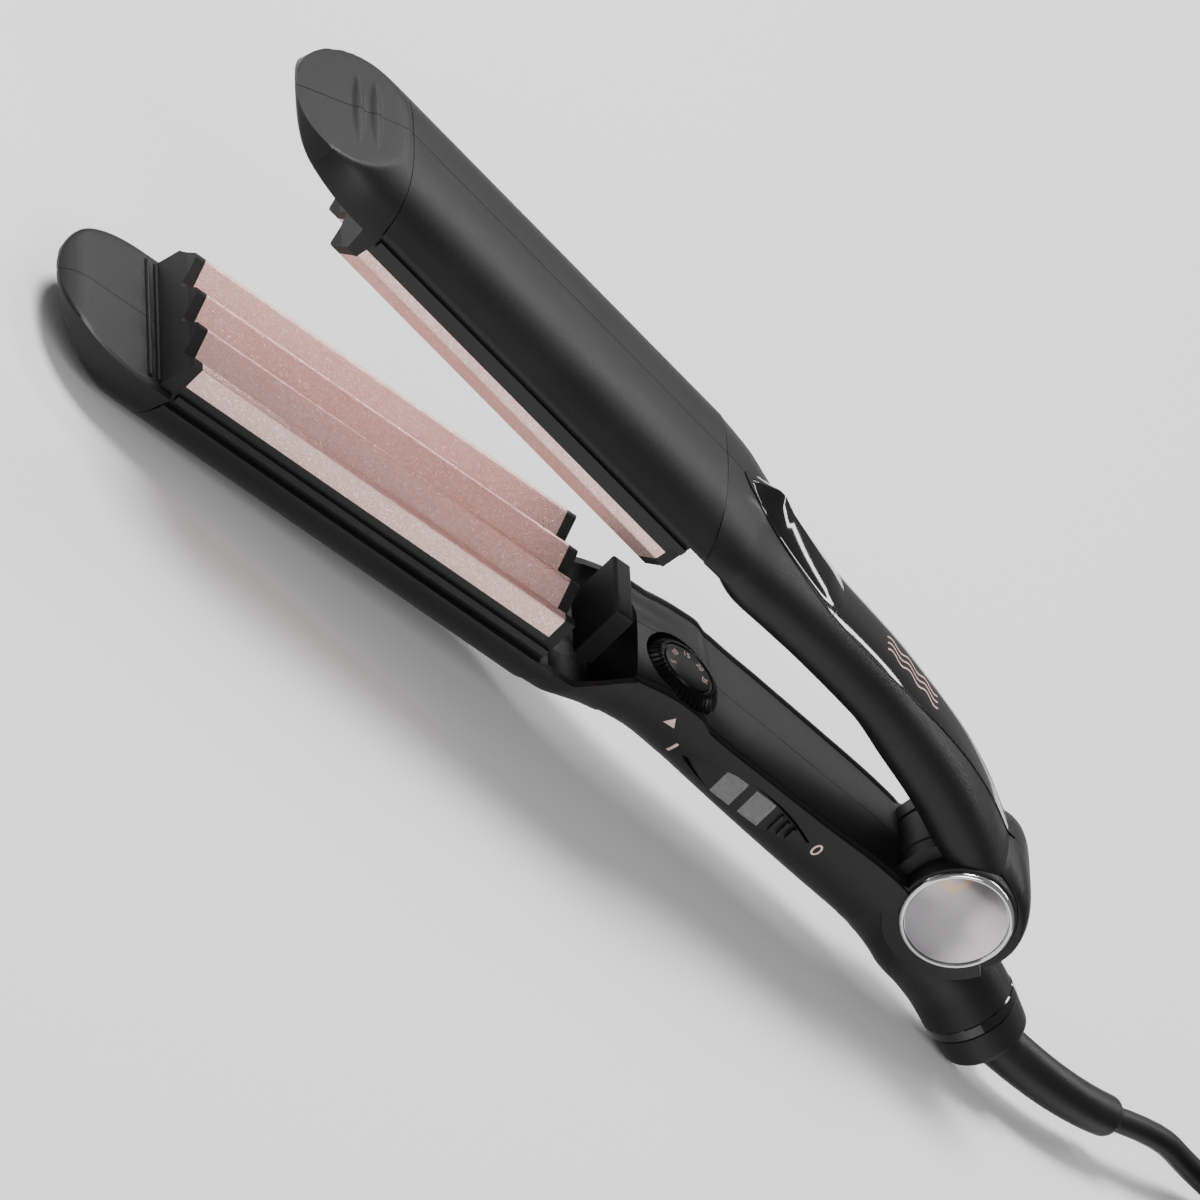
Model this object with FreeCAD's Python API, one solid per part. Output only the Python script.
"""Hair crimper with two hinged arms, wave plates, heat dial, rocker switch and swivel cord.

All sizes are in millimetres.  The parts are drawn in the "plate frame": the hinge axis is the Y
axis, +X runs from the tips to the tail, and the lower arm's plate is level.  The arms close on the
plane Z = CLOSING.  Each part is placed once, at the end, so that the crimper stands on its lower
arm with +Z up and its origin at the bottom centre of its box.
"""
import FreeCAD
import Part
import math
import os

V = FreeCAD.Vector

# ---------------------------------------------------------------- driving dimensions
CLOSING = 10.65            # height of the closing plane above the hinge axis
OPEN_ANGLE = 10.65         # angle between the arms when the spring holds them open, degrees
PLATE_GAP = 0.5            # room left between the closed plates
WALL = 2.2                 # thickness of the moulded shells

SHELL_HALF = 28.6          # half the barrel's width
SHELL_BACK = 25.85         # from the closing plane to the barrel's back
SHELL_RIM = 12.65          # from the closing plane to the barrel's rim
SHELL_CENTRE = 7.65        # from the closing plane to the middle of the barrel's rounded section
SHELL_POWER = 3.0          # exponent of the rounded section
TAIL_SEAM = -130.0         # where the barrel meets the handle
TAIL_SEAM_LEAN = 6.0       # how far the seam leans towards the tip at the back

PLATE_LENGTH = 117.0
PLATE_SETBACK = 7.0        # from the plate's rear end to the tail seam
PLATE_REAR = TAIL_SEAM - PLATE_SETBACK
PLATE_FRONT = PLATE_REAR - PLATE_LENGTH
PLATE_FIT = 0.4
PLATE_HALF = SHELL_HALF - WALL - PLATE_FIT
PLATE_BASE = 6.25          # from the closing plane to the plate's lower edge
WAVE_PITCH = 15.0
WAVE_SLOPE = 41.0          # degrees
WAVE_RADIUS = 1.6
EDGE_TOP = -0.4            # the outermost ridge is planed off this far above the closing plane
EDGE_BAND = 5.0
LIP_R = 0.8

TIP_SEAM = PLATE_FRONT - 2.0
TIP_SEAM_LEAN = 3.0
TIP_LAP = 12.0             # how far the shell blanks reach past their seams before they are cut
NOSE_SHOULDER = PLATE_FRONT - 8.0     # where the plan outline of the nose starts to round
NOSE_REACH = 27.0
NOSE_X = NOSE_SHOULDER - NOSE_REACH
NOSE_POWER = 2.3
NOSE_HEIGHT = 12.6         # from the closing plane to the foremost point
NOSE_CORNER = 8.5
TIP_FACE = 9.9             # from the closing plane to the tip's flat inner face
FACET_HEEL = (NOSE_SHOULDER + 0.5, SHELL_BACK)
FACET_TOE = (NOSE_SHOULDER - 22.0, 15.4)
HEEL_EASE = 4.0

COMB_LENGTH = 3.0
COMB_FOOT = 3.0            # extra length of the front comb at its foot
CARRIER_WALL = 1.5
CARRIER_DEPTH = 17.0
CARRIER_STEP = 12.95       # below this the carrier is narrower, to stand inside the shell
CARRIER_FIT = 0.3
SHELF_THICK = 2.05
RAIL_OUT = 1.3
RAIL_TOP = 9.0
RAIL_BOTTOM = 10.8
RAIL_TAIL = 2.5            # the rail runs this far past the plate

HEATER_INSET = 10.5        # from each end of the plate
HEATER_WIDTH = 16.0
HEATER_THICK = 3.0
CLIP_THICK = 0.8
CLIP_WIDTH = 12.0
CLIP_STATIONS = (8.0, 24.0, 30.0)
FUSE_R = 2.0
FUSE_LENGTH = 11.0
FUSE_AT = (PLATE_REAR - 23.0, 16.0, -0.4)
LEAD_WIRE_R = 0.5
LEAD_WIRE = 4.0

WELL_FLOOR = 13.2          # floor of the open well behind each plate, from the closing plane
WELL_END = -111.0
BLOCK_SIZE = (5.5, 24.0, 3.4)     # length, width, height above the closing plane
BLOCK_X = -119.8

DRUM_R = 18.8
DRUM_HALF = 17.0
DRUM_WALL = 3.2
DRUM_GROOVES = (-7.5, 6.0)
LOBE_R = 15.3
LOBE_INNER = 12.8
CHEEK_HALF = 17.8
HINGE_GAP = 0.35
UPPER_CHEEK = (-15.0, 134.0)      # the upper arm's part of the hinge rim at rest, degrees
LOWER_CHEEK = (182.0, 332.0)      # the lower arm's part
PIN_R = 4.0
PIN_FIT = 0.05
CAP_HEAD_R = PIN_R + 5.0
CAP_SINK = 1.6
BEZEL_R = LOBE_R - 0.9
BEZEL_THICK = 1.7
BEZEL_BEVEL = 0.5
LENS_R = BEZEL_R - 1.5
LENS_DOME = 1.6
SPRING_WIRE_R = 1.1
SPRING_R = (PIN_R + DRUM_R - DRUM_WALL) / 2 - 2.0
SPRING_PITCH = 2.1             # close-wound: each turn bites 0.1 into the next
SPRING_TURNS = 5

DIAL_R = 11.7
DIAL_AT = (-96.0, -8.5)
DIAL_TOP = 10.2
DIAL_THICK = 4.2
DIAL_TEETH = 40
DIAL_TOOTH = 0.75
DIAL_SHAFT_R = 3.0
DIAL_FIT = 0.7
POT_SIZE = (14.0, 13.0, 4.8)
POT_TOP = -1.6

ROCKER_AT = (-65.0, -4.6)     # centre of the rocker on the left side face, along X and Z
ROCKER_FACE = -20.2           # the left side face there
ROCKER_LENGTH = 39.4
ROCKER_HEIGHT = 9.2
ROCKER_DEPTH = 5.2
ROCKER_PROUD = 0.8
ROCKER_CREST_R = 120.0
ROCKER_TILT = 5.0             # degrees, when pressed at its front end
ROCKER_PIVOT = 2.0            # depth of the pivot below the side face
ROCKER_ROOM = (2.6, 0.9)      # the window is longer and higher by these
PANE_OFFSETS = (-5.2, 3.8)
PANE_HALF = 3.2
SWITCH_DEPTH = 7.4
SWITCH_SIZE = (24.0, 9.0, 9.6)
LAMP_R = 1.5
BOARD_BOX = (-86.0, -42.0, -3.5, 10.5, -8.6, -7.0)
BOARD_CHIPS = ((-84.0, 2.0, 7.0, 5.0), (-72.0, 6.0, 5.0, 3.5), (-56.0, 1.0, 8.0, 6.0),
               (-47.0, 7.0, 4.0, 3.0))

POST_R = 3.0
SCREW_R = 1.3
SCREW_HEAD_R = 2.6
SCREW_HEAD_FIT = 0.2
LOWER_POSTS = ((-107.0, -4.0), (-34.0, -11.0))     # x and z
UPPER_POSTS = ((-100.0, 22.0), (-44.0, 20.0))

TAIL_ANGLE = 26.0             # the tail's axis points this far below +X
TAIL_R = 12.3
TAIL_POINT = (27.0, -26.3)    # where the tail ends, X and Z
RING_LENGTH = 3.4
RING_SLEEVE = 5.5
COLLAR_LENGTH = 9.6
COLLAR_WALL = 2.0
COLLAR_ROUND = 2.2
BALL_R = TAIL_R - 4.1
BALL_AT = 9.6                 # centre of the swivel ball, along the tail's axis
BALL_FIT = 0.25
BALL_BACK = 4.0               # the ball is flat this far behind its centre
GUARD_R = 6.3
GUARD_END_R = 5.5
GUARD_EASE = 0.15
GUARD_DIP = 6.0               # the guard leaves this far below +X
GUARD_STRAIGHT = 12.0
GUARD_LENGTH = 46.0
GUARD_TURN = 27.0             # degrees, towards +Y
GUARD_THROAT = 1.0
CORD_R = 3.3
CORD_GAP = 2.0              # from the turning guard to the cord

HALF = SHELL_HALF
BACK_LOW = CLOSING - SHELL_BACK
BACK_HIGH = CLOSING + SHELL_BACK
# stations of the lower handle: x, half width, rim height, back height
LOWER_STATIONS = [
    (TAIL_SEAM - 10.0, HALF - 0.2, -1.8, BACK_LOW), (TAIL_SEAM + 6.0, HALF - 1.4, 0.4, BACK_LOW + 1.3),
    (WELL_END, HALF - 3.4, 5.0, -12.5), (-98.0, 23.3, 7.4, -12.2), (-84.0, 22.2, 5.4, -13.8),
    (-66.0, 21.6, 3.4, -16.8), (-44.0, 20.6, 1.6, -20.0), (-26.0, 19.2, 0.2, -22.4),
    (-12.0, 18.2, -0.8, -25.0)]
# stations of the tail: x, z of the centre, tilt in degrees, half width, half height
TAIL_STATIONS = [
    (-14.0, -13.0, 8.0, 18.0, 12.2), (-1.0, -16.4, 15.0, 17.4, 11.9),
    (11.0, -19.9, 22.0, TAIL_R + 2.6, TAIL_R - 0.2), (19.5, -22.9, 25.5, TAIL_R + 0.5, TAIL_R - 0.1),
    (TAIL_POINT[0], TAIL_POINT[1], TAIL_ANGLE, TAIL_R, TAIL_R - 0.1)]
# stations of the upper handle: x, half width, inner height, widest height, back height (arm closed)
UPPER_STATIONS = [
    (TAIL_SEAM - 10.0, HALF - 0.2, 21.8, 23.3, BACK_HIGH),
    (TAIL_SEAM + 6.0, HALF - 1.6, 19.8, 23.6, BACK_HIGH - 0.8),
    (-110.0, HALF - 6.0, 15.4, 22.4, 33.8), (-96.0, 18.8, 14.5, 22.6, 32.6), (-80.0, 16.6, 14.4, 22.6, 31.6),
    (-62.0, 16.0, 14.2, 22.4, 31.0), (-46.0, 16.2, 11.7, 20.6, 29.6), (-30.0, 16.6, 9.0, 18.2, 27.4),
    (-16.0, 17.0, 5.4, 14.7, 24.0), (-2.0, 17.0, 2.0, 10.4, 18.8)]
# gloss insert: x and half width; thumb rest: x and half width, then x and z of its side
INSERT_PLAN = ((-87.5, 10.6), (-71.0, 10.6), (-38.0, 6.9), (-14.0, 3.0), (0.5, 0.0))
REST_PLAN = ((-128.5, 0.0), (-118.0, 6.5), (-101.0, 9.5), (-87.5, 10.6))
REST_SIDE = ((-128.5, 33.0), (-117.8, 39.6), (-108.0, 36.2), (-96.0, 33.4), (-84.4, 31.8), (-80.0, 28.0),
             (-128.5, 28.0))
INSERT_JOINT = -84.4
INSERT_DEPTH = 1.5

# the free cord, in the placed frame: x, y, z of the points between the guard and the coil
COIL_CENTRE = (262.0, -4.2)
COIL_COLUMNS = 3
COIL_LAYERS = 4
COIL_MID_R = 26.0
TIE_THICK = 1.0
TIE_WIDTH = 10.0
LEAD_IN = [(201.0, 15.5, 12.6), (217.0, 22.0, 7.6), (236.0, 27.4, 4.3), (258.0, 28.4, 4.3)]
LEAD_OUT = [(266.0, 28.4, 24.1), (283.0, 27.2, 22.0), (299.0, 20.0, 14.0), (312.0, 10.0, 8.2), (324.0, 5.0, 6.9)]
PLUG_HEADING = -12.0          # the plug points this way from +X, degrees
PLUG_THICK = 13.7
PLUG_WIDE = 33.0
PLUG_LENGTH = 34.0
PLUG_NECK = 16.0
PIN_SPACING = 18.6
PLUG_PIN_R = 2.0
PLUG_PIN_LENGTH = 19.0
PIN_ROOT = 8.0                # the part of each pin held in the plug
FOOT_FLAT = 0.2               # depth of the flats the crimper rests on

parts = {}


# ---------------------------------------------------------------- helpers
def poly(points):
    """Closed flat face through the points."""
    return Part.Face(Part.makePolygon(points + [points[0]]))


def box(x0, x1, y0, y1, z0, z1):
    """Box between two corners."""
    return Part.makeBox(x1 - x0, y1 - y0, z1 - z0, V(x0, y0, z0))


def rod(radius, start, axis, length):
    """Cylinder from a start point along an axis."""
    return Part.makeCylinder(radius, length, start, axis)


def joined(shapes):
    """All the shapes as one."""
    whole = shapes[0]
    for shape in shapes[1:]:
        whole = whole.fuse(shape)
    return whole


def spline(points):
    """Smooth curve through the points."""
    curve = Part.BSplineCurve()
    curve.interpolate(points)
    return curve.toShape()


def lower_to_upper(shape):
    """Turn a part of the lower arm half a turn about the closing plane's X axis."""
    turned = shape.copy()
    turned.rotate(V(0, 0, CLOSING), V(1, 0, 0), 180)
    return turned


def halves(name, shape):
    """Split a shell along the middle plane into its left and right halves."""
    bounds = shape.BoundBox
    left = box(bounds.XMin - 1, bounds.XMax + 1, -60, 0, bounds.ZMin - 1, bounds.ZMax + 1)
    right = box(bounds.XMin - 1, bounds.XMax + 1, 0, 60, bounds.ZMin - 1, bounds.ZMax + 1)
    parts[name + "_left"] = shape.common(left)
    parts[name + "_right"] = shape.common(right)


def leaning_cut(x, lean, side):
    """Everything on one side of a seam plane; the seam leans towards the tip at the lower back."""
    far = x + 400 * side
    slope = 2 * lean / SHELL_BACK
    low = V(x + lean - slope * 80, -80, CLOSING - 80)
    high = V(x + lean + slope * 80, -80, CLOSING + 80)
    return poly([low, high, V(far, -80, high.z), V(far, -80, low.z)]).extrude(V(0, 160, 0))


def barrel_half_at(depth, shrink=0.0):
    """Half width of the barrel's rounded section at a depth below the closing plane."""
    share = max(depth - SHELL_CENTRE, 0) / (SHELL_BACK - SHELL_CENTRE - shrink)
    return (SHELL_HALF - shrink) * (1 - share ** SHELL_POWER) ** (1 / SHELL_POWER)


# ---------------------------------------------------------------- wave plate
def wave_outline(offset):
    """Edge points of the wave from left to right: tangent arcs joined by straight flanks."""
    slope = math.radians(WAVE_SLOPE)
    run = WAVE_RADIUS * math.sin(slope)
    drop = WAVE_RADIUS * (1 - math.cos(slope))
    swing = (WAVE_PITCH / 4 - run) * math.tan(slope) + drop
    edges = []
    last = None
    count = 2 * int(math.ceil(2 * PLATE_HALF / WAVE_PITCH))
    for index in range(count + 2):
        y = (index - (count + 1) / 2) * WAVE_PITCH / 2
        sign = 1 if index % 2 else -1
        peak = V(0, y, CLOSING + offset + sign * swing)
        start = V(0, y - run, peak.z - sign * drop)
        end = V(0, y + run, peak.z - sign * drop)
        if last is not None:
            edges.append(Part.makeLine(last, start))
        edges.append(Part.Arc(start, peak, end).toShape())
        last = end
    return edges


def wave_block(x0, x1, z_floor, offset=0.0):
    """Solid below the wave between two stations, planed off along its outermost ridge."""
    edges = wave_outline(offset)
    first = edges[0].Vertexes[0].Point
    last = edges[-1].Vertexes[-1].Point
    floor_a = V(0, first.y, z_floor)
    floor_b = V(0, last.y, z_floor)
    edges += [Part.makeLine(last, floor_b), Part.makeLine(floor_b, floor_a), Part.makeLine(floor_a, first)]
    face = Part.Face(Part.Wire(Part.__sortEdges__(edges)))
    face.translate(V(x0, 0, 0))
    block = face.extrude(V(x1 - x0, 0, 0))
    top = CLOSING + offset - EDGE_TOP
    trim = box(x0, x1, -PLATE_HALF, PLATE_HALF, z_floor, CLOSING + 10)
    edge = box(x0 - 1, x1 + 1, -PLATE_HALF - 1, -PLATE_HALF + EDGE_BAND, top, CLOSING + 20)
    return block.common(trim).cut(edge)


def comb_front(block, foot):
    """Slope the front comb's face so that it is longer at its foot."""
    face_x = PLATE_FRONT - COMB_LENGTH
    toe_x = face_x - COMB_FOOT
    slope = poly([V(face_x, -40, CLOSING + 8), V(face_x, -40, CLOSING - 1), V(toe_x, -40, foot + 1),
                  V(toe_x - 2, -40, foot + 1), V(toe_x - 2, -40, CLOSING + 8)])
    return block.cut(slope.extrude(V(0, 80, 0)))


def carrier_solid():
    """Open tray under the plate with the side rails and the shelf behind the rear comb."""
    base = CLOSING - PLATE_BASE
    floor = CLOSING - CARRIER_DEPTH
    step = CLOSING - CARRIER_STEP
    low_half = barrel_half_at(CARRIER_DEPTH, WALL) - CARRIER_FIT
    outer = box(PLATE_FRONT, PLATE_REAR, -PLATE_HALF, PLATE_HALF, step, base)
    outer = outer.fuse(box(PLATE_FRONT, PLATE_REAR, -low_half, low_half, floor, step))
    x0 = PLATE_FRONT + CARRIER_WALL
    x1 = PLATE_REAR - CARRIER_WALL
    wide = PLATE_HALF - CARRIER_WALL
    low = low_half - CARRIER_WALL
    carrier = outer.cut(box(x0, x1, -wide, wide, step + CARRIER_WALL, base + 1))
    carrier = carrier.cut(box(x0, x1, -low, low, floor + CARRIER_WALL, base + 1))
    for side in (-1, 1):
        y0 = min(side * PLATE_HALF, side * (PLATE_HALF + RAIL_OUT))
        carrier = carrier.fuse(box(PLATE_FRONT, PLATE_REAR + RAIL_TAIL, y0, y0 + RAIL_OUT,
                                   CLOSING - RAIL_BOTTOM, CLOSING - RAIL_TOP))
    shelf_half = barrel_half_at(WELL_FLOOR + SHELF_THICK, WALL) - CARRIER_FIT
    shelf_end = TAIL_SEAM - CARRIER_FIT - 1.0
    top = CLOSING - WELL_FLOOR
    carrier = carrier.fuse(box(PLATE_REAR - 1, shelf_end, -shelf_half, shelf_half, top - SHELF_THICK, top))
    return carrier.removeSplitter()


def heater_clip(low, high):
    """Leaf spring that presses the heater against the plate: feet, two slopes and a flat crown."""
    crown, bend, end = CLIP_STATIONS
    middle = (PLATE_FRONT + PLATE_REAR) / 2
    under = [(-end, 0), (-bend, 0), (-crown, high - low - CLIP_THICK)]
    over = [(crown + 0.4, high - low), (bend + 0.4, CLIP_THICK), (end, CLIP_THICK)]
    outline = under + [(-x, z) for x, z in under[::-1]] + over[::-1] + [(-x, z) for x, z in over]
    leaf = poly([V(middle + x, -CLIP_WIDTH / 2, low + z) for x, z in outline])
    return leaf.extrude(V(0, CLIP_WIDTH, 0))


def lower_plate_set():
    """Plate, combs, carrier, heater, clip and thermal fuse of the lower arm, as a dictionary."""
    base = CLOSING - PLATE_BASE
    foot = CLOSING - WELL_FLOOR
    made = {}
    drop = -PLATE_GAP / 2
    plate = wave_block(PLATE_FRONT, PLATE_REAR, base, drop)
    lips = [e for e in plate.Edges if e.BoundBox.XLength > PLATE_LENGTH - 1
            and abs(abs(e.Vertexes[0].Y) - PLATE_HALF) < 0.01 and e.Vertexes[0].Z > base + 0.5]
    made["crimp_plate"] = plate.makeFillet(LIP_R, lips)
    block = wave_block(PLATE_FRONT - COMB_LENGTH - COMB_FOOT, PLATE_FRONT, foot, drop)
    made["tip_comb"] = comb_front(block, foot)
    made["rear_comb"] = wave_block(PLATE_REAR, PLATE_REAR + COMB_LENGTH, foot, drop)
    made["plate_carrier"] = carrier_solid()
    made["heater"] = box(PLATE_FRONT + HEATER_INSET, PLATE_REAR - HEATER_INSET, -HEATER_WIDTH / 2,
                         HEATER_WIDTH / 2, base - HEATER_THICK, base)
    made["heater_clip"] = heater_clip(CLOSING - CARRIER_DEPTH + CARRIER_WALL, base - HEATER_THICK)
    start = V(*FUSE_AT)
    fuse = rod(FUSE_R, start, V(1, 0, 0), FUSE_LENGTH)
    wires = rod(LEAD_WIRE_R, start - V(LEAD_WIRE, 0, 0), V(1, 0, 0), FUSE_LENGTH + 2 * LEAD_WIRE)
    made["thermal_fuse"] = fuse.fuse(wires)
    return made


# ---------------------------------------------------------------- barrel and tip
def barrel_section(x, shrink):
    """Flat section of the barrel's rounded body at a station, made smaller by a wall."""
    centre = CLOSING - SHELL_CENTRE
    wide = SHELL_HALF - shrink
    deep = SHELL_BACK - SHELL_CENTRE - shrink
    count = 24
    points = []
    for index in range(count + 1):
        angle = math.pi * index / count
        cosine = math.cos(angle)
        sine = math.sin(angle)
        y = -wide * math.copysign(abs(cosine) ** (2 / SHELL_POWER), cosine)
        z = centre - deep * sine ** (2 / SHELL_POWER)
        points.append(V(x, y, z))
    return Part.Face(Part.Wire([spline(points), Part.makeLine(points[-1], points[0])]))


def barrel_solid(x0, x1, rim, shrink=0.0):
    """Rounded bar between two stations, open above the rim height."""
    bar = barrel_section(x0, shrink).extrude(V(x1 - x0, 0, 0))
    centre = CLOSING - SHELL_CENTRE
    if rim > centre:
        wide = SHELL_HALF - shrink
        return bar.fuse(box(x0, x1, -wide, wide, centre, rim)).removeSplitter()
    return bar.common(box(x0, x1, -60, 60, -60, rim))


def nose_profile(shrink, end_x):
    """Side profile of the nose, extruded across: flat inner face, blunt front, slanting facet."""
    face = CLOSING - TIP_FACE - shrink
    slope = math.atan2(FACET_HEEL[1] - FACET_TOE[1], FACET_HEEL[0] - FACET_TOE[0])
    shift = shrink / math.cos(slope)
    toe = V(FACET_TOE[0], 0, CLOSING - FACET_TOE[1] + shift)
    nose = V(NOSE_X + shrink, 0, CLOSING - NOSE_HEIGHT)
    corner = V(NOSE_X + NOSE_CORNER, 0, face)
    under = V(FACET_HEEL[0] + HEEL_EASE * math.cos(slope), 0,
              CLOSING - FACET_HEEL[1] + shift - HEEL_EASE * math.sin(slope))
    deep = CLOSING - SHELL_BACK - 5
    front = spline([corner, V(nose.x + 2.2, 0, (corner.z + nose.z) / 2 + 0.6), nose, toe])
    rest = [toe, under, V(under.x, 0, deep), V(end_x, 0, deep), V(end_x, 0, face), corner]
    lines = [Part.makeLine(rest[index], rest[index + 1]) for index in range(len(rest) - 1)]
    side = Part.Face(Part.Wire([front] + lines))
    side.translate(V(0, -60, 0))
    return side.extrude(V(0, 120, 0))


def nose_plan(shrink, end_x):
    """Plan outline of the nose, extruded upwards: a blunt superelliptic end on a straight body."""
    wide = SHELL_HALF - shrink
    ring = []
    count = 20
    for index in range(count + 1):
        angle = math.pi * index / count - math.pi / 2
        sine = math.sin(angle)
        x = NOSE_SHOULDER - (NOSE_REACH - shrink) * math.cos(angle) ** (2 / NOSE_POWER)
        ring.append(V(x, wide * math.copysign(abs(sine) ** (2 / NOSE_POWER), sine), -60))
    corners = [ring[-1], V(end_x, ring[-1].y, -60), V(end_x, ring[0].y, -60), ring[0]]
    lines = [Part.makeLine(corners[index], corners[index + 1]) for index in range(3)]
    return Part.Face(Part.Wire([spline(ring)] + lines)).extrude(V(0, 0, 120))


def tip_solid(shrink):
    """Nose of the lower arm: rounded bar, plan outline and side profile with the slanting facet."""
    end_x = TIP_SEAM + TIP_LAP
    bar = barrel_solid(NOSE_X - 2, end_x, CLOSING - TIP_FACE - shrink, shrink)
    return bar.common(nose_profile(shrink, end_x)).common(nose_plan(shrink, end_x))


def lower_shells():
    """Tip cap and barrel shell of the lower arm."""
    hollow = tip_solid(WALL).common(box(NOSE_X, TIP_SEAM - 7, -60, 60, -60, 60))
    rail_half = PLATE_HALF + RAIL_OUT + 0.1
    keep_out = box(PLATE_FRONT - COMB_LENGTH - COMB_FOOT, PLATE_FRONT + 40, -rail_half, rail_half,
                   CLOSING - CARRIER_DEPTH - 0.1, CLOSING)
    cap = tip_solid(0.0).cut(hollow).common(leaning_cut(TIP_SEAM, TIP_SEAM_LEAN, -1)).cut(keep_out)
    rim = CLOSING - SHELL_RIM
    x0 = TIP_SEAM - TIP_LAP
    x1 = TAIL_SEAM + TIP_LAP
    shell = barrel_solid(x0, x1, rim).cut(barrel_solid(x0, x1, rim + 1, WALL))
    shell = shell.common(leaning_cut(TIP_SEAM, TIP_SEAM_LEAN, 1))
    return cap, shell.common(leaning_cut(TAIL_SEAM, TAIL_SEAM_LEAN, -1))


# ---------------------------------------------------------------- handles
def half_round(x, wide, rim, back, power=2.6, crown=0.0, shrink=0.0):
    """Section of the lower handle: rounded below, gently crowned above."""
    count = 18
    points = []
    deep = rim - back - shrink
    width = wide - shrink
    for index in range(count + 1):
        angle = math.pi * index / count
        cosine = math.cos(angle)
        sine = math.sin(angle)
        y = -width * math.copysign(abs(cosine) ** (2 / power), cosine)
        points.append(V(x, y, rim - deep * sine ** (2 / power)))
    top = V(x, 0, rim + crown - shrink)
    arch = Part.Arc(points[-1], top, points[0]).toShape()
    return Part.Wire([spline(points), arch])


def oval(x, wide, low, mid, high, power=2.5, shrink=0.0):
    """Closed superelliptic section of the upper handle, widest at its mid height."""
    count = 32
    width = wide - shrink
    points = []
    for index in range(count):
        angle = 2 * math.pi * index / count
        cosine = math.cos(angle)
        sine = math.sin(angle)
        tall = high - mid - shrink if sine > 0 else max(mid - low - shrink, 0.3)
        y = width * math.copysign(abs(cosine) ** (2 / power), cosine)
        z = mid + tall * math.copysign(abs(sine) ** (2 / power), sine)
        points.append(V(x, y, z))
    curve = Part.BSplineCurve()
    curve.interpolate(points, PeriodicFlag=True)
    return Part.Wire([curve.toShape()])


def round_section(x, z, tilt, wide, tall, shrink=0.0, power=2.2):
    """Closed section of the tail on a plane that leans back by the tilt."""
    wire = oval(0, wide, -tall, 0, tall, power, shrink)
    wire.rotate(V(0, 0, 0), V(0, 1, 0), tilt)
    wire.translate(V(x, 0, z))
    return wire


def sector(start, end, inner, outer, half_from, half_to):
    """Ring sector about the hinge axis on both sides, angles in degrees from +X towards +Z."""
    span = end - start
    shapes = []
    for side in (-1, 1):
        y0 = side * half_from if side > 0 else -half_to
        ring = Part.makeCylinder(outer, half_to - half_from, V(0, y0, 0), V(0, 1, 0), span)
        if inner > 0:
            ring = ring.cut(rod(inner, V(0, y0 - 1, 0), V(0, 1, 0), half_to - half_from + 2))
        # the cylinder's seam starts along the reference direction: turn it to the wanted start
        reference = Part.makeCylinder(1, 1, V(0, 0, 0), V(0, 1, 0), 1).CenterOfMass
        angle = math.degrees(math.atan2(reference.z, reference.x))
        clockwise = Part.makeCylinder(1, 1, V(0, 0, 0), V(0, 1, 0), 90).CenterOfMass
        turning = math.degrees(math.atan2(clockwise.z, clockwise.x)) - angle
        turning = (turning + 180) % 360 - 180
        first = angle if turning > 0 else angle - span
        ring.rotate(V(0, 0, 0), V(0, -1, 0), start - first)
        shapes.append(ring)
    return shapes[0].fuse(shapes[1])


def lower_handle_body(shrink=0.0):
    """Outer body of the lower handle with its tail."""
    grip = Part.makeLoft([half_round(x, w, rim, back, 2.6, 1.2, shrink)
                          for x, w, rim, back in LOWER_STATIONS], True)
    tail = Part.makeLoft([round_section(x, z, tilt, w, t, shrink)
                          for x, z, tilt, w, t in TAIL_STATIONS], True)
    return grip, tail


def rocker_lens(length, height, depth, y_face):
    """Lens-shaped prism on the left side face, with its long axis along X."""
    half = length / 2
    rise = height / 2
    upper = Part.Arc(V(-half, 0, 0), V(0, 0, rise), V(half, 0, 0)).toShape()
    lower = Part.Arc(V(half, 0, 0), V(0, 0, -rise), V(-half, 0, 0)).toShape()
    lens = Part.Face(Part.Wire([upper, lower])).extrude(V(0, depth, 0))
    lens.translate(V(ROCKER_AT[0], y_face, ROCKER_AT[1]))
    return lens


def along_tail(distance):
    """Point on the tail's axis, a distance past the tail's end."""
    angle = math.radians(TAIL_ANGLE)
    return V(TAIL_POINT[0] + distance * math.cos(angle), 0, TAIL_POINT[1] - distance * math.sin(angle))


def tail_axis():
    """Unit vector along the tail."""
    return V(math.cos(math.radians(TAIL_ANGLE)), 0, -math.sin(math.radians(TAIL_ANGLE)))


def well_prism(floor, ceiling):
    """Open well between the plate and the handle's front wall, narrowing with the handle."""
    points = []
    for side in (-1, 1):
        row = [V(x, side * (wide - WALL), floor) for x, wide, _, _ in LOWER_STATIONS[:3]]
        points += row if side < 0 else row[::-1]
    return poly(points).extrude(V(0, 0, ceiling - floor))


def screw_posts(shell_body, places):
    """Screw posts across a handle, with their bores and the crosshead screws."""
    posts = []
    cuts = []
    screws = []
    across = V(0, 1, 0)
    for x, z in places:
        posts.append(rod(POST_R, V(x, -30, z), across, 60).common(shell_body))
        cuts.append(rod(SCREW_R, V(x, -8, z), across, 40))
        cuts.append(rod(SCREW_HEAD_R + SCREW_HEAD_FIT, V(x, 9.2, z), across, 30))
        screw = rod(SCREW_R, V(x, -8, z), across, 17.2).fuse(rod(SCREW_HEAD_R, V(x, 9.2, z), across, 1.8))
        screw = screw.cut(box(x - 2.0, x + 2.0, 10.3, 12, z - 0.35, z + 0.35))
        screws.append(screw.cut(box(x - 0.35, x + 0.35, 10.3, 12, z - 2.0, z + 2.0)))
    return joined(posts), joined(cuts), joined(screws)


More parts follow.
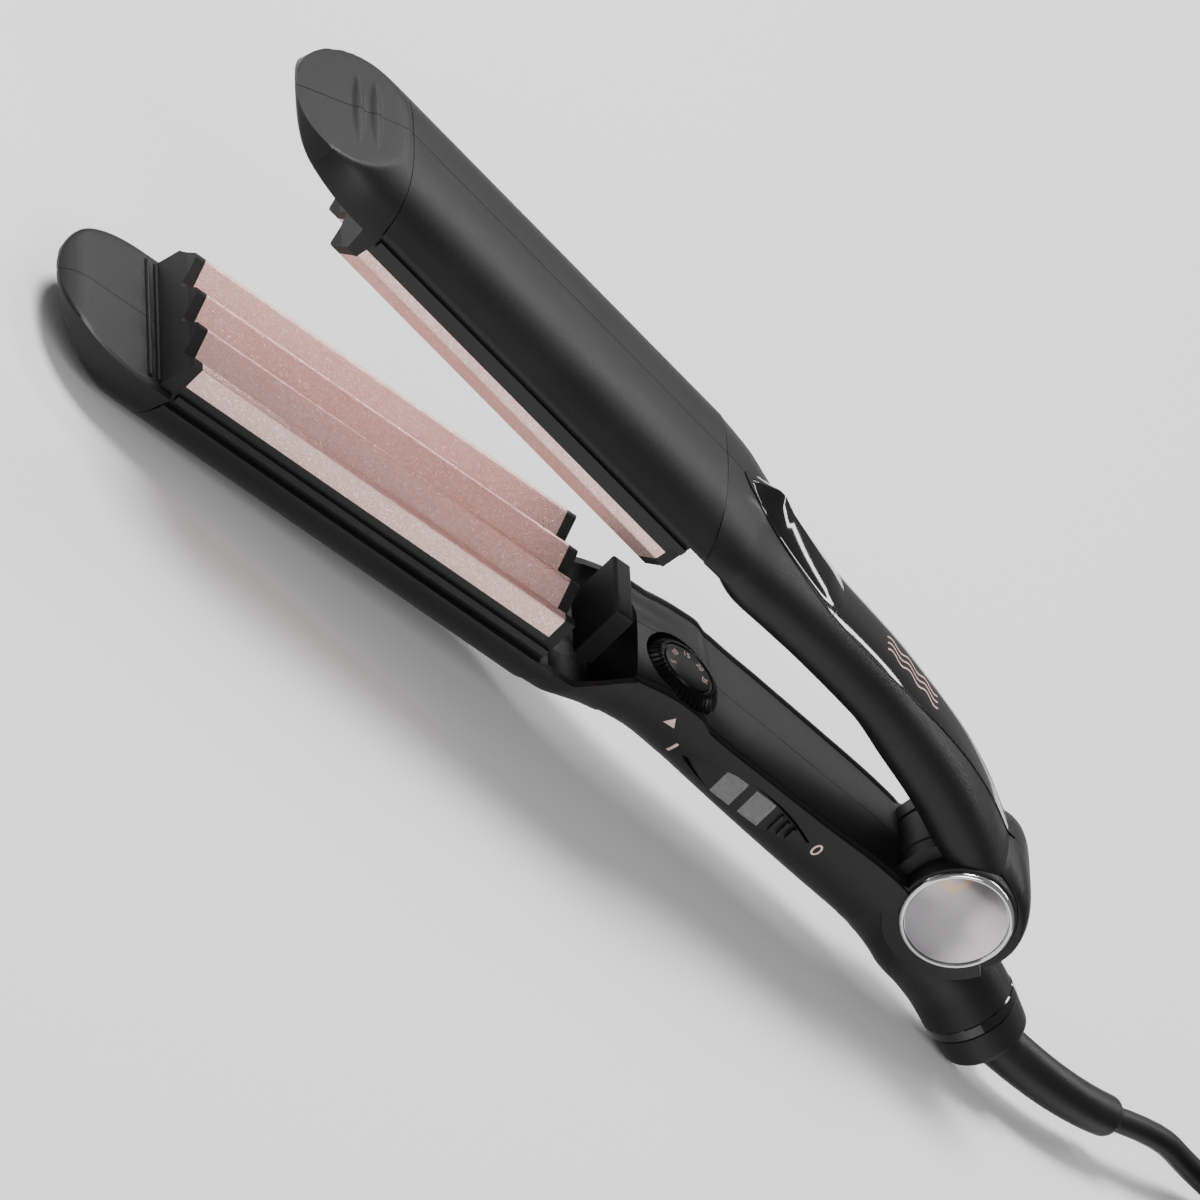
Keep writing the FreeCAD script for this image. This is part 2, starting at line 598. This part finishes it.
# ---------------------------------------------------------------- lower handle
def hinge_cuts(body, outer):
    """Room for the drum and the upper cheeks, then the lower cheeks with their round lobes."""
    clear = DRUM_R + HINGE_GAP
    start, end = LOWER_CHEEK
    body = body.cut(rod(clear, V(0, -LOBE_INNER, 0), V(0, 1, 0), 2 * LOBE_INNER))
    body = body.cut(sector(end - 361, start, 0, clear, LOBE_INNER, 30))
    cheeks = sector(start, end, 0, clear, LOBE_INNER, CHEEK_HALF).common(outer)
    for y0 in (LOBE_INNER, -CHEEK_HALF):
        cheeks = cheeks.fuse(rod(LOBE_R, V(0, y0, 0), V(0, 1, 0), CHEEK_HALF - LOBE_INNER))
    for y0 in (CHEEK_HALF, -CHEEK_HALF - 12):
        body = body.cut(rod(BEZEL_R + PIN_FIT, V(0, y0, 0), V(0, 1, 0), 12))
    body = body.fuse(cheeks).cut(rod(PIN_R, V(0, -30, 0), V(0, 1, 0), 60))
    for y0 in (CHEEK_HALF - CAP_SINK, -CHEEK_HALF - 5):
        body = body.cut(rod(CAP_HEAD_R, V(0, y0, 0), V(0, 1, 0), 5 + CAP_SINK))
    return body


def build_lower_handle():
    """Hollow lower handle with its tail, hinge cheeks, well, dial pocket and rocker window."""
    grip, tail = lower_handle_body()
    outer = grip.fuse(tail)
    grip_in, tail_in = lower_handle_body(WALL)
    front_plug = box(-160, WELL_END + WALL, -60, 60, -60, 60)
    hollow = grip_in.fuse(tail_in).cut(front_plug)
    floor = CLOSING - WELL_FLOOR
    under_well = grip_in.common(box(-160, WELL_END + WALL + 1, -60, 60, -60, floor - WALL))
    body = outer.cut(hollow).cut(under_well)
    body = body.cut(well_prism(floor, 60).common(box(-150, WELL_END, -60, 60, -60, 60)))
    body = hinge_cuts(body, outer)
    posts, cuts, screws = screw_posts(outer.common(box(-200, 200, -60, 60, -60, 5)), LOWER_POSTS)
    body = body.fuse(posts).cut(cuts)
    parts["lower_case_screws"] = screws
    dial_x, dial_y = DIAL_AT
    bottom = DIAL_TOP - DIAL_THICK - 0.5
    pocket = rod(DIAL_R + DIAL_FIT, V(dial_x, dial_y, bottom), V(0, 0, 1), 30)
    ledge = rod(DIAL_R + 3.0, V(dial_x, dial_y, bottom - WALL), V(0, 0, 1), WALL).common(outer)
    body = body.fuse(ledge).cut(pocket)
    body = body.cut(rod(DIAL_SHAFT_R + PIN_FIT, V(dial_x, dial_y, -10), V(0, 0, 1), 30))
    room_x, room_z = ROCKER_ROOM
    body = body.cut(rocker_lens(ROCKER_LENGTH + room_x, ROCKER_HEIGHT + room_z, 10, ROCKER_FACE - 4.3))
    body = body.common(leaning_cut(TAIL_SEAM, TAIL_SEAM_LEAN, 1))
    body = body.cut(rod(TAIL_R - COLLAR_WALL, along_tail(-6), tail_axis(), 40))
    halves("lower_handle", body)
    block_length, block_width, block_rise = BLOCK_SIZE
    x0 = BLOCK_X - block_length / 2
    block = box(x0, x0 + block_length, -block_width / 2, block_width / 2, floor, CLOSING + block_rise)
    top_edges = [e for e in block.Edges if e.BoundBox.ZMin > CLOSING]
    parts["alignment_block"] = block.makeFillet(1.0, top_edges)


def build_dial():
    """Knurled heat dial with its shaft, and the potentiometer under it."""
    x, y = DIAL_AT
    low = DIAL_TOP - DIAL_THICK
    rim = []
    for index in range(2 * DIAL_TEETH):
        angle = math.pi * index / DIAL_TEETH
        radius = DIAL_R - DIAL_TOOTH * (index % 2)
        rim.append(V(x + radius * math.cos(angle), y + radius * math.sin(angle), low))
    wheel = poly(rim).extrude(V(0, 0, DIAL_THICK))
    bevel = Part.makeCone(DIAL_R + 3.4, DIAL_R - 1.4, 4.8, V(x, y, DIAL_TOP - 4.6), V(0, 0, 1))
    dish = rod(DIAL_R - 3.3, V(x, y, DIAL_TOP - 0.7), V(0, 0, 1), 3)
    face = rod(DIAL_R - 4.1, V(x, y, DIAL_TOP - 1.5), V(0, 0, 1), 1.7)
    stem = rod(DIAL_SHAFT_R, V(x, y, POT_TOP + 0.2), V(0, 0, 1), low - POT_TOP)
    parts["heat_dial"] = wheel.common(bevel).cut(dish).fuse(face).fuse(stem)
    length, width, tall = POT_SIZE
    parts["dial_potentiometer"] = box(x - length / 2, x + length / 2, y - width / 2, y + width / 2,
                                      POT_TOP - tall, POT_TOP)


def build_rocker():
    """Rocker with its two clear windows, the switch body, the lamps and the control board."""
    x0, z0 = ROCKER_AT
    crest = rod(ROCKER_CREST_R, V(x0, ROCKER_FACE - ROCKER_PROUD + ROCKER_CREST_R, z0 - 20), V(0, 0, 1), 40)
    rocker = rocker_lens(ROCKER_LENGTH, ROCKER_HEIGHT, ROCKER_DEPTH, ROCKER_FACE - 0.6).common(crest)
    panes = []
    for offset in PANE_OFFSETS:
        x = x0 + offset
        slot = box(x - PANE_HALF, x + PANE_HALF, ROCKER_FACE - 2, ROCKER_FACE + 1.4, z0 - 3.9, z0 + 3.9)
        panes.append(slot.common(rocker))
    windows = joined(panes)
    ribs = []
    for index in range(3):
        x = x0 + 9.6 + 2.4 * index
        half = 2.9 - 0.55 * index
        ribs.append(box(x, x + 0.8, ROCKER_FACE - 1.3, ROCKER_FACE + 1.5, z0 - half, z0 + half))
    rocker = rocker.cut(windows).fuse(joined(ribs))
    pivot = V(x0, ROCKER_FACE + ROCKER_PIVOT, z0)
    for shape in (rocker, windows):
        shape.rotate(pivot, V(0, 0, 1), -ROCKER_TILT)
    parts["switch_rocker"] = rocker
    parts["switch_windows"] = windows
    inner_y = ROCKER_FACE + SWITCH_DEPTH
    length, deep, tall = SWITCH_SIZE
    bottom = z0 - 4.6
    x1 = x0 - length / 2
    parts["switch_body"] = box(x1, x1 + length, inner_y, inner_y + deep, bottom, bottom + tall)
    parts["indicator_lamps"] = joined([rod(LAMP_R, V(x0 + offset, inner_y - 0.9, z0), V(0, 1, 0), 0.9)
                                       for offset in PANE_OFFSETS])
    board = box(*BOARD_BOX)
    top = BOARD_BOX[5]
    chips = [box(x, x + size, y, y + size * 0.7, top, top + tall) for x, y, size, tall in BOARD_CHIPS]
    parts["control_board"] = joined([board] + chips)


# ---------------------------------------------------------------- upper handle
def upper_drum():
    """Hinge drum with two grooves, and the upper arm's part of the outer rim."""
    half = LOBE_INNER - HINGE_GAP
    across = V(0, 1, 0)
    drum = rod(DRUM_R, V(0, -half, 0), across, 2 * half)
    drum = drum.cut(rod(DRUM_R - DRUM_WALL, V(0, -8, 0), across, 16))
    for y in DRUM_GROOVES:
        core = rod(DRUM_R - 0.6, V(0, y, 0), across, 0.7)
        drum = drum.cut(rod(DRUM_R + 1, V(0, y, 0), across, 0.7).cut(core))
    start, end = UPPER_CHEEK
    lobe = LOBE_R + HINGE_GAP
    return drum.fuse(sector(start + OPEN_ANGLE, end + OPEN_ANGLE, lobe, DRUM_R, half - 1, DRUM_HALF))


def build_upper_handle():
    """Hollow upper handle with the hinge drum; drawn with the arm closed."""
    outer = Part.makeLoft([oval(*station) for station in UPPER_STATIONS], True)
    inner = Part.makeLoft([oval(*station, 2.5, WALL) for station in UPPER_STATIONS[:-1]], True)
    body = outer.cut(inner).common(lower_to_upper(leaning_cut(TAIL_SEAM, TAIL_SEAM_LEAN, 1)))
    half = LOBE_INNER - HINGE_GAP
    across = V(0, 1, 0)
    lobe = LOBE_R + HINGE_GAP
    clear = rod(lobe, V(0, half, 0), across, 30).fuse(rod(lobe, V(0, -half - 30, 0), across, 30))
    body = body.cut(rod(DRUM_R - 1, V(0, -half, 0), across, 2 * half)).cut(clear)
    body = body.cut(box(-12, 60, -60, 60, -60, -0.5))
    body = body.fuse(upper_drum())
    body = body.cut(rod(PIN_R + PIN_FIT, V(0, -30, 0), across, 60))
    posts, cuts, screws = screw_posts(outer, UPPER_POSTS)
    body = body.fuse(posts).cut(cuts)
    parts["upper_case_screws"] = screws
    insert, rest = build_grip_trim(outer)
    body = body.cut(insert).cut(rest)
    halves("upper_handle", body)
    parts["handle_insert"] = insert
    parts["thumb_rest"] = rest


def build_grip_trim(outer):
    """Gloss insert along the upper handle's back and the thumb rest in front of it."""
    left = [V(x, -wide, 0) for x, wide in INSERT_PLAN]
    right = [V(x, wide, 0) for x, wide in INSERT_PLAN[::-1]]
    joint = Part.Arc(right[-1], V(INSERT_JOINT, 0, 0), left[0]).toShape()
    plan = Part.Face(Part.Wire([spline(left), spline(right), joint])).extrude(V(0, 0, 60))
    sunk = Part.makeLoft([oval(*station, 2.5, INSERT_DEPTH) for station in UPPER_STATIONS], True)
    insert = max(outer.common(plan).cut(sunk).Solids, key=lambda solid: solid.CenterOfMass.z)
    side = poly([V(x, -30, z) for x, z in REST_SIDE]).extrude(V(0, 60, 0))
    left = [V(x, -wide, 0) for x, wide in REST_PLAN]
    right = [V(x, wide, 0) for x, wide in REST_PLAN[::-1]]
    joint = Part.Arc(left[-1], V(INSERT_JOINT, 0, 0), right[0]).toShape()
    edges = [joint]
    for row in (left, right):
        edges += [Part.makeLine(row[index], row[index + 1]) for index in range(len(row) - 1)]
    footprint = Part.Face(Part.Wire(Part.__sortEdges__(edges))).extrude(V(0, 0, 60))
    rest = max(side.common(footprint).cut(sunk).Solids, key=lambda solid: solid.CenterOfMass.z)
    return insert, rest


# ---------------------------------------------------------------- hinge
def build_hinge():
    """Hinge pin, close-wound torsion spring, bezels and domed caps."""
    reach = CHEEK_HALF - CAP_SINK
    parts["hinge_pin"] = rod(PIN_R, V(0, -reach, 0), V(0, 1, 0), 2 * reach)
    coil = None
    for turn in range(SPRING_TURNS):
        middle = V(0, (turn - (SPRING_TURNS - 1) / 2) * SPRING_PITCH, 0)
        ring = Part.makeTorus(SPRING_R, SPRING_WIRE_R, middle, V(0, 1, 0))
        coil = ring if coil is None else coil.fuse(ring)
    parts["hinge_spring"] = coil
    for name, side in (("left", -1), ("right", 1)):
        outward = V(0, side, 0)
        seat = V(0, side * (CHEEK_HALF + 0.5), 0)
        washer = rod(CAP_HEAD_R, V(0, side * reach, 0), outward, CAP_SINK)
        ring = Part.makeCone(BEZEL_R, BEZEL_R - BEZEL_BEVEL, BEZEL_THICK, V(0, side * CHEEK_HALF, 0), outward)
        parts[name + "_hinge_bezel"] = ring.cut(rod(LENS_R, seat, outward, 5)).fuse(washer)
        bulge = (LENS_R ** 2 + LENS_DOME ** 2) / (2 * LENS_DOME)
        ball = Part.makeSphere(bulge, V(0, side * (CHEEK_HALF + BEZEL_THICK + LENS_DOME - bulge), 0))
        parts[name + "_hinge_lens"] = rod(LENS_R - PIN_FIT, seat, outward, 6).common(ball)


# ---------------------------------------------------------------- tail, swivel and cord
def ring_section(x, y, z, yaw, radius):
    """Circle across the guard's path; the path runs level and turns by the yaw."""
    direction = V(math.cos(math.radians(yaw)), math.sin(math.radians(yaw)), 0)
    return Part.Wire([Part.Circle(V(x, y, z), direction, radius).toShape()])


def guard_sections():
    """Circles along the guard, in its own frame, with the end point and the last heading."""
    steps = 12
    x = GUARD_STRAIGHT
    y = 0.0
    wide = GUARD_R - GUARD_EASE
    sections = [ring_section(2.0, 0, 0, 0.0, GUARD_R), ring_section(x, 0, 0, 0.0, wide)]
    stride = (GUARD_LENGTH - GUARD_STRAIGHT) / steps
    for index in range(1, steps + 1):
        middle = math.radians(GUARD_TURN * (index - 0.5) / steps)
        x += stride * math.cos(middle)
        y += stride * math.sin(middle)
        radius = wide - (wide - GUARD_END_R) * index / steps
        sections.append(ring_section(x, y, 0, GUARD_TURN * index / steps, radius))
    heading = V(math.cos(math.radians(GUARD_TURN)), math.sin(math.radians(GUARD_TURN)), 0)
    rounding = 0.62 * GUARD_END_R
    for step in (30, 55, 74):
        ahead = rounding * math.sin(math.radians(step))
        radius = GUARD_END_R - rounding * (1 - math.cos(math.radians(step)))
        end = V(x, y, 0) + heading * ahead
        sections.append(ring_section(end.x, end.y, 0, GUARD_TURN, radius))
    return sections, end, heading


def build_tail():
    """Gloss ring, collar, swivel ball and cord guard; returns the guard's end and direction."""
    axis = tail_axis()
    inner_r = TAIL_R - COLLAR_WALL
    ring = Part.makeCone(TAIL_R + 0.15, TAIL_R - 0.05, RING_LENGTH, along_tail(0), axis)
    sleeve = rod(inner_r, along_tail(-RING_SLEEVE), axis, RING_SLEEVE + RING_LENGTH)
    sleeve = sleeve.cut(rod(inner_r - COLLAR_WALL, along_tail(-6), axis, 40))
    parts["tail_ring"] = ring.cut(rod(inner_r, along_tail(-1), axis, 40)).fuse(sleeve)
    collar = Part.makeCone(TAIL_R - 0.3, TAIL_R - 1.0, COLLAR_LENGTH, along_tail(RING_LENGTH), axis)
    end_point = along_tail(RING_LENGTH + COLLAR_LENGTH)
    collar = collar.makeFillet(COLLAR_ROUND, [e for e in collar.Edges
                                              if (e.CenterOfMass - end_point).Length < 0.1])
    centre = along_tail(BALL_AT)
    throat = Part.makeCone(GUARD_R + GUARD_THROAT, GUARD_R + GUARD_THROAT + 3.0, 8.0, centre, axis)
    entry = rod(CORD_R + 0.9, along_tail(RING_LENGTH - 1), axis, 8)
    socket = Part.makeSphere(BALL_R + BALL_FIT, centre)
    parts["swivel_collar"] = collar.cut(socket).cut(throat).cut(entry)
    sections, end, heading = guard_sections()
    guard = Part.makeLoft(sections, True)
    guard.rotate(V(0, 0, 0), V(0, 1, 0), GUARD_DIP)
    guard.translate(centre)
    ball = Part.makeSphere(BALL_R, centre).common(rod(30, centre - axis * BALL_BACK, axis, 40)).cut(guard)
    parts["swivel_ball"] = max(ball.Solids, key=lambda solid: solid.Volume)
    parts["cord_guard"] = guard
    turn = FreeCAD.Rotation(V(0, 1, 0), GUARD_DIP)
    return turn.multVec(end) + centre, turn.multVec(heading)


def build_arms():
    """Plates, shells and inner pieces of both arms; the upper ones are half a turn of the lower."""
    cap, shell = lower_shells()
    for name, shape in lower_plate_set().items():
        parts["lower_" + name] = shape
        parts["upper_" + name] = lower_to_upper(shape)
    halves("lower_tip_cap", cap)
    halves("lower_barrel", shell)
    halves("upper_tip_cap", lower_to_upper(cap))
    halves("upper_barrel", lower_to_upper(shell))


build_arms()
build_lower_handle()
build_dial()
build_rocker()
build_upper_handle()
build_hinge()
guard_end, guard_direction = build_tail()

# ---------------------------------------------------------------- placing and the free cord
UPPER = [name for name in parts if name.startswith("upper_")] + ["handle_insert", "thumb_rest"]
RESTING = ["lower_tip_cap_left", "lower_tip_cap_right", "lower_barrel_left", "lower_barrel_right",
           "swivel_collar"]


def lowest(names, x_from, x_to):
    """Lowest point of some parts between two stations."""
    found = []
    for name in names:
        points, _ = parts[name].tessellate(0.02)
        found += [p for p in points if x_from < p.x < x_to]
    return min(found, key=lambda p: p.z)


def place():
    """Open the upper arm, level the crimper on its two rests and centre it; returns the motion."""
    for name in UPPER:
        parts[name].rotate(V(0, 0, 0), V(0, 1, 0), OPEN_ANGLE)
    motion = FreeCAD.Placement()
    for _ in range(3):
        heel = lowest(RESTING, -400, -200)
        foot = lowest(RESTING, 0, 400)
        lean = math.degrees(math.atan2(heel.z - foot.z, foot.x - heel.x))
        step = FreeCAD.Placement(V(0, 0, 0), FreeCAD.Rotation(V(0, 1, 0), -lean))
        for shape in parts.values():
            shape.rotate(V(0, 0, 0), V(0, 1, 0), -lean)
        motion = step.multiply(motion)
    floor = lowest(RESTING, -400, 400).z + FOOT_FLAT
    under = box(-400, 400, -60, 60, floor - 20, floor)
    for name in RESTING:
        parts[name] = parts[name].cut(under)
    points = []
    for shape in parts.values():
        points += shape.tessellate(0.05)[0]
    middle_x = (min(p.x for p in points) + max(p.x for p in points)) / 2
    middle_y = (min(p.y for p in points) + max(p.y for p in points)) / 2
    shift = V(-middle_x, -middle_y, -floor)
    for shape in parts.values():
        shape.translate(shift)
    return FreeCAD.Placement(shift, FreeCAD.Rotation()).multiply(motion)


def rounded_tube(points, radius):
    """Tube along straight runs joined by tangent arcs, each as large as its two runs allow."""
    edges = []
    radii = []
    length = 0.0
    start = points[0]
    for index in range(1, len(points) - 1):
        before = points[index] - points[index - 1]
        after = points[index + 1] - points[index]
        turn = before.getAngle(after)
        reach = 0.45 * min(before.Length, after.Length)
        bend = reach / math.tan(turn / 2)
        radii.append(bend)
        first = points[index] - before.normalize() * reach
        last = points[index] + after.normalize() * reach
        middle_way = (first + last) * 0.5 - points[index]
        middle_way.normalize()
        middle = points[index] + middle_way * (bend / math.cos(turn / 2) - bend)
        edges.append(Part.LineSegment(start, first).toShape())
        edges.append(Part.Arc(first, middle, last).toShape())
        length += (first - start).Length + bend * turn
        start = last
    edges.append(Part.LineSegment(start, points[-1]).toShape())
    length += (points[-1] - start).Length
    path = Part.Wire(edges)
    ring = Part.Wire([Part.Circle(points[0], points[1] - points[0], radius).toShape()])
    tube = path.makePipeShell([ring], True, True)
    print("cord radii", ["%.0f" % value for value in radii], "length %.1f" % length,
          "volume ratio %.4f" % (tube.Volume / (math.pi * radius ** 2 * length)))
    return tube


def build_cord(end, direction):
    """Lead from the guard to the coil, the coil with its tie, the lead to the plug and the plug."""
    points = [end + direction * CORD_GAP] + [V(*p) for p in LEAD_IN]
    parts["cord"] = rounded_tube(points, CORD_R)
    centre_x, centre_y = COIL_CENTRE
    half_wide = COIL_COLUMNS * CORD_R
    tall = COIL_LAYERS * 2 * CORD_R
    centre = V(centre_x, centre_y, TIE_THICK)
    outer = rod(COIL_MID_R + half_wide, centre, V(0, 0, 1), tall)
    inner = rod(COIL_MID_R - half_wide, centre - V(0, 0, 1), V(0, 0, 1), tall + 2)
    coil = outer.cut(inner)
    coil = coil.makeFillet(2.2, [e for e in coil.Edges if abs(e.Vertexes[0].Z - e.Vertexes[-1].Z) < 0.01
                                 and e.Length > 10])
    parts["cord_coil"] = coil
    out_x = half_wide + 0.2
    loop = box(-out_x - TIE_THICK, out_x + TIE_THICK, -TIE_WIDTH / 2, TIE_WIDTH / 2, 0, tall + 2 * TIE_THICK)
    hole = box(-out_x, out_x, -TIE_WIDTH, TIE_WIDTH, TIE_THICK, tall + TIE_THICK)
    tie = loop.cut(hole)
    tie.rotate(V(0, 0, 0), V(0, 0, 1), 90)
    tie.translate(V(centre_x, centre_y - COIL_MID_R, 0))
    parts["coil_tie"] = tie
    points = [V(*p) for p in LEAD_OUT]
    parts["cord_tail"] = rounded_tube(points, CORD_R)
    build_plug(points[-1])


def plug_section(x, wide, thick, power):
    """Closed section of the plug across its length."""
    return oval(x, wide, -thick, 0, thick, power)


def build_plug(start):
    """Flat two-pin plug with a tapered neck, lying on its broad side."""
    neck = 4.4
    wide = PLUG_WIDE / 2
    thick = PLUG_THICK / 2
    sections = [(0.0, neck, neck, 2.0), (PLUG_NECK * 0.6, neck + 0.7, neck + 0.4, 2.0),
                (PLUG_NECK, neck + 2.2, neck + 1.0, 2.3), (PLUG_NECK + 9.0, wide * 0.72, thick - 0.5, 2.8),
                (PLUG_NECK + 20.0, wide, thick - 0.1, 3.2),
                (PLUG_NECK + PLUG_LENGTH, wide - 0.6, thick - 0.1, 3.4)]
    body = Part.makeLoft([plug_section(*row) for row in sections], True)
    pins = None
    x0 = PLUG_NECK + PLUG_LENGTH
    for side in (-1, 1):
        y = side * PIN_SPACING / 2
        root = rod(PLUG_PIN_R - 0.4, V(x0 - PIN_ROOT, y, 0), V(1, 0, 0), PIN_ROOT)
        body = body.cut(root)
        pin = rod(PLUG_PIN_R, V(x0, y, 0), V(1, 0, 0), PLUG_PIN_LENGTH).fuse(root)
        pin = pin.makeFillet(1.0, [e for e in pin.Edges if e.BoundBox.XMin > x0 + PLUG_PIN_LENGTH - 0.1])
        pins = pin if pins is None else pins.fuse(pin)
    for shape in (body, pins):
        shape.rotate(V(0, 0, 0), V(0, 0, 1), PLUG_HEADING)
        shape.translate(start)
    parts["plug_body"] = body
    parts["plug_pins"] = pins


motion = place()
guard_end = motion.multVec(guard_end)
guard_direction = motion.Rotation.multVec(guard_direction)
hinge = motion.multVec(V(0, 0, 0))
print("hinge at %.3f %.3f %.3f" % tuple(hinge), "turned %.4f deg" % math.degrees(motion.Rotation.Angle))
print("guard end %.3f %.3f %.3f" % tuple(guard_end), "heading %.4f %.4f %.4f" % tuple(guard_direction))
build_cord(guard_end, guard_direction)

os.makedirs("parts", exist_ok=True)
for name, shape in parts.items():
    if not shape.isValid() or shape.Volume <= 0:
        print("CHECK", name, shape.isValid(), shape.Volume)
    shape.exportStep("parts/" + name + ".step")
print(len(parts), "parts")
